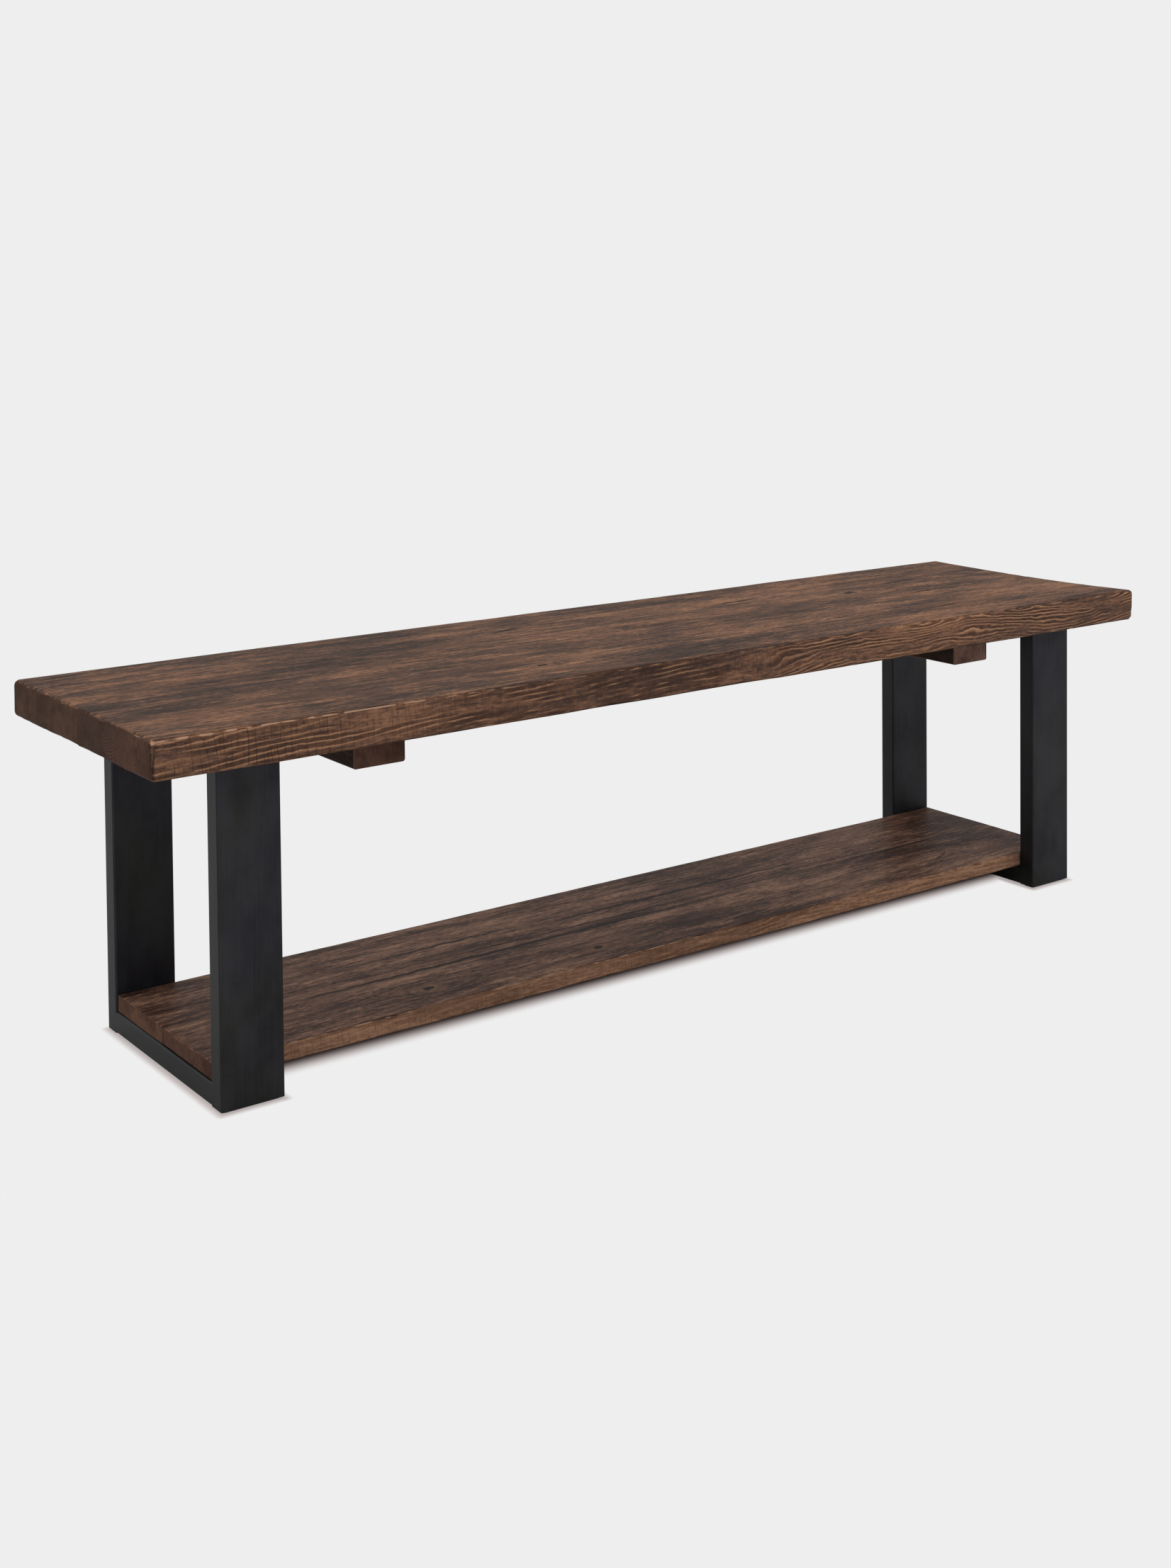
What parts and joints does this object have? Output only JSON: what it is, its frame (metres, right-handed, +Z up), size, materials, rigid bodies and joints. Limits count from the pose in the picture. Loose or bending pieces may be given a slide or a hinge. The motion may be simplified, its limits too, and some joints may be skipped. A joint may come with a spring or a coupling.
{
  "type": "entryway bench",
  "caption": "Long, low bench with a thick wooden seat on black steel tube end frames, and a narrower wooden shelf low between their legs.",
  "frame": {"origin": "on the floor, under the middle of the seat", "axes": "+X along the bench to its right end, +Y from its front to its rear, +Z up"},
  "size_m": [1.524, 0.394, 0.42],
  "materials": {
    "seat_wood": "dark brown stained softwood with worn, paler arrises, satin",
    "shelf_wood": "darker brown stained softwood, satin",
    "cleat_wood": "dark brown stained softwood, sawn and unpolished",
    "black_steel": "blackened steel with fine upright brush marks, satin",
    "black_plastic": "moulded, matt",
    "zinc_steel": "zinc plated",
    "brass": "turned",
    "felt": "pressed felt"
  },
  "bodies": {
    "root": {"seat_board_front": "seat_wood", "seat_board_rear": "seat_wood", "seat_cleat_left": "cleat_wood", "cleat_screw_left_1": "zinc_steel", "cleat_screw_left_2": "zinc_steel", "cleat_screw_left_3": "zinc_steel", "cleat_screw_left_4": "zinc_steel", "seat_cleat_right": "cleat_wood", "cleat_screw_right_1": "zinc_steel", "cleat_screw_right_2": "zinc_steel", "cleat_screw_right_3": "zinc_steel", "cleat_screw_right_4": "zinc_steel", "shelf_board_front": "shelf_wood", "shelf_board_rear": "shelf_wood", "leg_left_front": "black_steel", "leg_end_cap_left_front": "black_plastic", "foot_pad_left_front": "felt", "leg_left_rear": "black_steel", "leg_end_cap_left_rear": "black_plastic", "foot_pad_left_rear": "felt", "base_rail_left": "black_steel", "top_plate_left": "black_steel", "frame_bolt_left_front_1": "zinc_steel", "seat_insert_left_front_1": "brass", "frame_bolt_left_front_2": "zinc_steel", "seat_insert_left_front_2": "brass", "frame_bolt_left_rear_1": "zinc_steel", "seat_insert_left_rear_1": "brass", "frame_bolt_left_rear_2": "zinc_steel", "seat_insert_left_rear_2": "brass", "shelf_screw_left_1": "zinc_steel", "shelf_screw_left_2": "zinc_steel", "shelf_screw_left_3": "zinc_steel", "shelf_screw_left_4": "zinc_steel", "leg_right_front": "black_steel", "leg_end_cap_right_front": "black_plastic", "foot_pad_right_front": "felt", "leg_right_rear": "black_steel", "leg_end_cap_right_rear": "black_plastic", "foot_pad_right_rear": "felt", "base_rail_right": "black_steel", "top_plate_right": "black_steel", "frame_bolt_right_front_1": "zinc_steel", "seat_insert_right_front_1": "brass", "frame_bolt_right_front_2": "zinc_steel", "seat_insert_right_front_2": "brass", "frame_bolt_right_rear_1": "zinc_steel", "seat_insert_right_rear_1": "brass", "frame_bolt_right_rear_2": "zinc_steel", "seat_insert_right_rear_2": "brass", "shelf_screw_right_1": "zinc_steel", "shelf_screw_right_2": "zinc_steel", "shelf_screw_right_3": "zinc_steel", "shelf_screw_right_4": "zinc_steel"}
  },
  "joints": []
}
